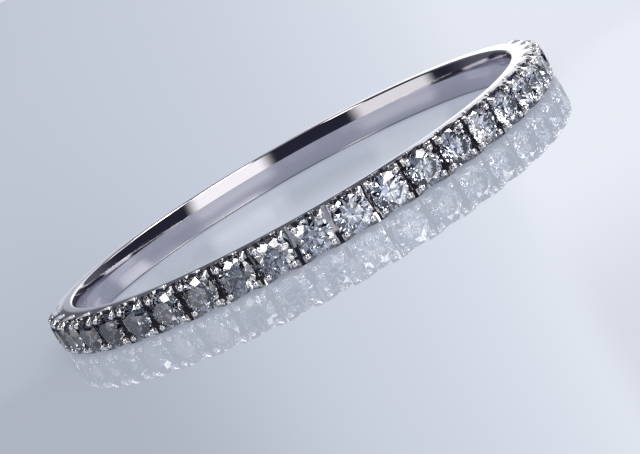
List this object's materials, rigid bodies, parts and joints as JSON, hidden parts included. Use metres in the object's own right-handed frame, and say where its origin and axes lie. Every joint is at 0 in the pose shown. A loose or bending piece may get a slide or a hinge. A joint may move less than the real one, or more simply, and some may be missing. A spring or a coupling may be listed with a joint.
{
  "type": "half eternity ring",
  "caption": "Slim half eternity ring in polished white metal: a front row of small round brilliants, each in four small claws, with a plain domed shank behind, lying on its side.",
  "frame": {"origin": "on the finger's axis, at the level of the lower flank that the ring lies on", "axes": "+Z along the finger's axis, up from the surface that the ring lies on; -Y towards the middle of the stone row"},
  "size_m": [0.019, 0.0188, 0.0013],
  "materials": {
    "metal": "polished white precious metal",
    "stone": "clear, brilliant cut"
  },
  "bodies": {
    "root": {"band": "metal", "stone_01": "stone", "stone_02": "stone", "stone_03": "stone", "stone_04": "stone", "stone_05": "stone", "stone_06": "stone", "stone_07": "stone", "stone_08": "stone", "stone_09": "stone", "stone_10": "stone", "stone_11": "stone", "stone_12": "stone", "stone_13": "stone", "stone_14": "stone", "stone_15": "stone", "stone_16": "stone", "stone_17": "stone", "stone_18": "stone", "stone_19": "stone", "stone_20": "stone", "stone_21": "stone", "stone_22": "stone", "stone_23": "stone"}
  },
  "joints": []
}
